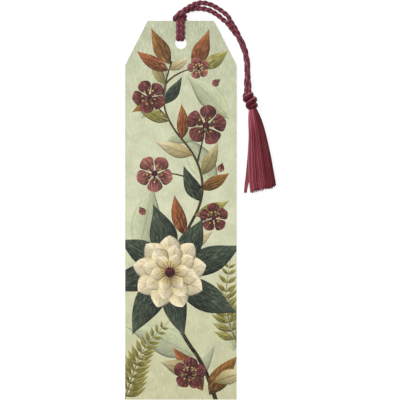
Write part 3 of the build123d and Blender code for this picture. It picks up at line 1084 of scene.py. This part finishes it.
def coated_card_print(add):
    """Coated board with an offset print: a satin skin over inks laid in soft streaks, washes and stipple.

    The stipple is drawn coarse so that it shows.
    """
    streak_long, streak_wide, wash_size, stipple_size = 3.2, 0.62, 6.5, 0.5
    glaze_streaks, glaze_share = (0.42, 0.7), 0.62
    rib_edge, rib_depth = (0.02, 0.13), 0.42
    side_veins, vein_slant, half_vein, vein_edge, vein_depth = 6.5, -1.1, 0.5, 0.4, 0.24
    rim_edge, rim_depth, rounding = (0.74, 1.0), 0.3, 0.34
    noise_spread, wash_shades, stipple_shades = (0.3, 0.7), (0.92, 1.08), (0.93, 1.07)
    ink, glaze = (add("ShaderNodeAttribute", attribute_name=name) for name in ("ink", "glaze"))
    vein, lit = (add("ShaderNodeAttribute", attribute_name=name).outputs["Fac"] for name in ("vein", "lit"))
    share = add("ShaderNodeSeparateXYZ", (add("ShaderNodeUVMap", uv_map="paint_share"),)).outputs
    brushed = {"Vector": add("ShaderNodeUVMap", uv_map="paint_mm")}
    brushed["Scale"] = (1 / streak_long, 1 / streak_wide, 1.0)
    brushed = add("ShaderNodeMapping", brushed)
    streak = add("ShaderNodeTexNoise", {"Vector": brushed, "Scale": 1.0, "Detail": 3.0, "Roughness": 0.6})
    glazed = add("ShaderNodeMapRange", (streak, *glaze_streaks, 0.0, glaze_share), **smooth_step)
    painted = add("ShaderNodeMix", {MIX_SHARE: glazed, MIX_FROM: ink, MIX_TO: glaze}, **colour_mix)

    across = add("ShaderNodeMath", (share["Y"],), operation="ABSOLUTE")
    rib = add("ShaderNodeMapRange", (across, *rib_edge, rib_depth, 0.0), **smooth_step)
    slant = add("ShaderNodeMath", (across, vein_slant), operation="MULTIPLY")
    slant = add("ShaderNodeMath", (share["X"], side_veins, slant), operation="MULTIPLY_ADD")
    slant = add("ShaderNodeMath", (slant, half_vein), operation="PINGPONG")
    ribs = add("ShaderNodeMapRange", (slant, vein_edge, half_vein, 0.0, vein_depth), **smooth_step)
    ribs = add("ShaderNodeMath", (rib, ribs), operation="MAXIMUM")
    ribs = add("ShaderNodeMath", (ribs, vein), operation="MULTIPLY")
    rim = add("ShaderNodeMapRange", (across, *rim_edge, 0.0, rim_depth), **smooth_step)
    shade = add("ShaderNodeMath", (share["Y"], rounding), operation="MULTIPLY")
    shade = add("ShaderNodeMath", (shade, rim), operation="SUBTRACT")
    value = add("ShaderNodeMath", (shade, lit, 1.0), operation="MULTIPLY_ADD")
    value = add("ShaderNodeMath", (value, ribs), operation="SUBTRACT")

    where = add("ShaderNodeTexCoord").outputs["Object"]
    wash = add("ShaderNodeTexNoise", {"Vector": where, "Scale": 1 / (wash_size * MM), "Detail": 2.0})
    stipple = add("ShaderNodeTexNoise", {"Vector": where, "Scale": 1 / (stipple_size * MM), "Detail": 1.0})
    for pattern, shades in ((wash, wash_shades), (stipple, stipple_shades)):
        shade = add("ShaderNodeMapRange", (pattern, *noise_spread, *shades))
        value = add("ShaderNodeMath", (value, shade), operation="MULTIPLY")
    painted = add("ShaderNodeVectorMath", {0: painted, "Scale": value}, operation="SCALE")
    tooth = add("ShaderNodeBump", {"Height": stipple, "Strength": 0.12, "Distance": 0.02 * MM})
    skin = {"Roughness": 0.5, "IOR": 1.5, "Specular IOR Level": 0.25}
    return add("ShaderNodeBsdfPrincipled", {"Base Color": painted, "Normal": tooth, **skin})


def uncoated_card_stock(add):
    """Uncoated board, as cut: matt off-white pulp with short fibres, drawn coarse so that they show."""
    fibre_long, fibre_wide = 2.4, 0.5
    fibres = {"Vector": add("ShaderNodeTexCoord").outputs["Object"]}
    fibres["Scale"] = [1 / (size * MM) for size in (fibre_wide, fibre_long, fibre_wide)]
    fibres = add("ShaderNodeMapping", fibres)
    grain = add("ShaderNodeTexNoise", {"Vector": fibres, "Scale": 1.0, "Detail": 4.0, "Roughness": 0.7})
    colour = add("ShaderNodeValToRGB", (grain,), ((0.3, "#d9d5c6"), (0.7, "#ebe8dc")))
    tooth = add("ShaderNodeBump", {"Height": grain, "Strength": 0.25, "Distance": 0.02 * MM})
    shader = {"Base Color": colour, "Roughness": 0.8, "IOR": 1.5, "Normal": tooth}
    return add("ShaderNodeBsdfPrincipled", shader)


card = make_card()

# Floor: the table that the bookmark lies on, tilted as the strands behind the card tilt it
floor_reach, floor_gap = 900.0, 0.03


def white_table(add):
    """White to the camera, with a faint shadow, and see-through from below."""
    paths = add("ShaderNodeLightPath").outputs
    seen = paths["Is Camera Ray"]
    for other in ("Is Glossy Ray", "Is Transmission Ray"):
        seen = add("ShaderNodeMath", (seen, paths[other]), operation="MAXIMUM")
    matte = add("ShaderNodeBsdfDiffuse", {"Color": linear("#f4f4f4")})
    shown = add("ShaderNodeBsdfDiffuse", {"Color": linear("#6a6a6a")})
    glow = add("ShaderNodeEmission", {"Color": linear("#ffffff"), "Strength": 0.9})
    top = add("ShaderNodeMixShader", (seen, matte, add("ShaderNodeAddShader", (shown, glow))))
    behind = add("ShaderNodeNewGeometry").outputs["Backfacing"]
    return add("ShaderNodeMixShader", (behind, top, add("ShaderNodeBsdfTransparent")))


def make_floor():
    corners = np.array([(-1, -1), (1, -1), (1, 1), (-1, 1)]) * floor_reach
    vertices = [(x, y, table_height(y) - floor_gap) for x, y in corners]
    return mesh_object("table", vertices, [(0, 1, 2, 3)], [make_material(white_table)], smooth=False)


make_floor()

# Camera: straight above, with a long lens, framed as the photograph is
view_width, view_centre = 182.24, (8.72, 90.93)
lens_length, sensor_width = 150.0, 36.0
camera_data = bpy.data.cameras.new("camera")
camera_data.lens, camera_data.sensor_width = lens_length, sensor_width
camera = bpy.data.objects.new("camera", camera_data)
camera.location = Vector((*view_centre, view_width * lens_length / sensor_width)) * MM
bpy.context.scene.collection.objects.link(camera)
bpy.context.scene.camera = camera

# Light: an even white room, with one broad soft lamp from the upper left
room_light, lamp_size, lamp_watts = 0.46, 400.0, 8.6
lamp_place, lamp_aim = Vector((-450.0, 500.0, 800.0)), Vector((0.0, 90.0, 0.0))
world = bpy.data.worlds.new("white_room")
world.use_nodes = True
background = world.node_tree.nodes["Background"]
background.inputs["Color"].default_value = linear("#ffffff")
background.inputs["Strength"].default_value = room_light
bpy.context.scene.world = world
lamp_data = bpy.data.lights.new("soft_lamp", "AREA")
lamp_data.shape, lamp_data.size, lamp_data.energy = "DISK", lamp_size * MM, lamp_watts
lamp = bpy.data.objects.new("soft_lamp", lamp_data)
lamp.location = lamp_place * MM
lamp.rotation_euler = (lamp_aim - lamp_place).to_track_quat("-Z", "Y").to_euler()
bpy.context.scene.collection.objects.link(lamp)
bpy.context.scene.view_settings.view_transform = "Standard"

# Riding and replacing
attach(card, "card")
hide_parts("card")
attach(hitch, "card")
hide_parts("hitch_strand_left", "hitch_strand_right", "hitch_loop")
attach(knot, "tassel")
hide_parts("knot_core", "knot_wrap")
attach(skirt, "tassel")
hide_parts("skirt_upper_locks", "skirt_lower_locks", "skirt_stray_lock")
for cord, node, line, length in (
    (cord_upper, "cord_upper", upper_line, upper_length),
    (cord_lower, "cord_lower", lower_line, lower_length),
):
    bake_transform(cord)
    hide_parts(node)
